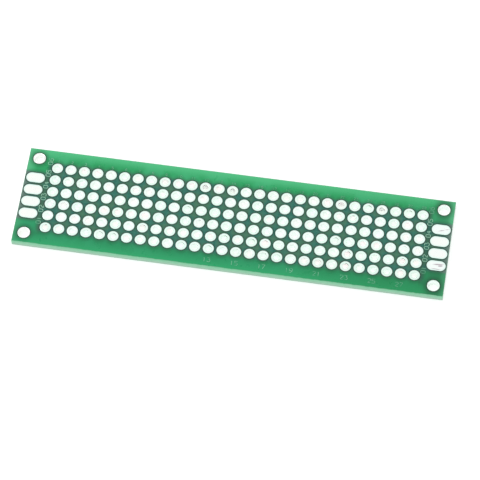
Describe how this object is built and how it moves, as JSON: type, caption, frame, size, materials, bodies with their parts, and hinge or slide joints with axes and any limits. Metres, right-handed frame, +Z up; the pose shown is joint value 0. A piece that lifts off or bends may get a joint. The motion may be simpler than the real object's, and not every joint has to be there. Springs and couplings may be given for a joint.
{
  "type": "prototype board",
  "caption": "Double-sided prototype board: a green strip with a grid of tinned plated pin holes at 2.54 mm, long solder pads at both ends and a mounting hole at each corner.",
  "frame": {"origin": "centre of the footprint, on the plane that the board lies on, under the tin of the lower pads", "axes": "+X along the board towards the higher columns, +Y across it towards row a, +Z up out of the top face"},
  "size_m": [0.08, 0.02, 0.0015],
  "materials": {
    "laminate": "glass-epoxy laminate, pale green, with a cut edge that shows its layers",
    "solder_mask": "green solder mask, semi-gloss",
    "tinned_copper": "copper with a levelled coat of bright tin"
  },
  "bodies": {
    "root": {"substrate": "laminate", "solder_mask_top": "solder_mask", "solder_mask_bottom": "solder_mask", "plated_holes_row_a": "tinned_copper", "plated_holes_row_b": "tinned_copper", "plated_holes_row_c": "tinned_copper", "plated_holes_row_d": "tinned_copper", "plated_holes_row_e": "tinned_copper", "plated_holes_row_f": "tinned_copper", "corner_eyelet_back_left": "tinned_copper", "corner_eyelet_back_right": "tinned_copper", "corner_eyelet_front_left": "tinned_copper", "corner_eyelet_front_right": "tinned_copper", "end_pad_left_top_1": "tinned_copper", "end_pad_left_top_2": "tinned_copper", "end_pad_left_top_3": "tinned_copper", "end_pad_left_top_4": "tinned_copper", "end_pad_left_bottom_1": "tinned_copper", "end_pad_left_bottom_2": "tinned_copper", "end_pad_left_bottom_3": "tinned_copper", "end_pad_left_bottom_4": "tinned_copper", "end_pad_right_top_1": "tinned_copper", "end_pad_right_top_2": "tinned_copper", "end_pad_right_top_3": "tinned_copper", "end_pad_right_top_4": "tinned_copper", "end_pad_right_bottom_1": "tinned_copper", "end_pad_right_bottom_2": "tinned_copper", "end_pad_right_bottom_3": "tinned_copper", "end_pad_right_bottom_4": "tinned_copper"}
  },
  "joints": []
}
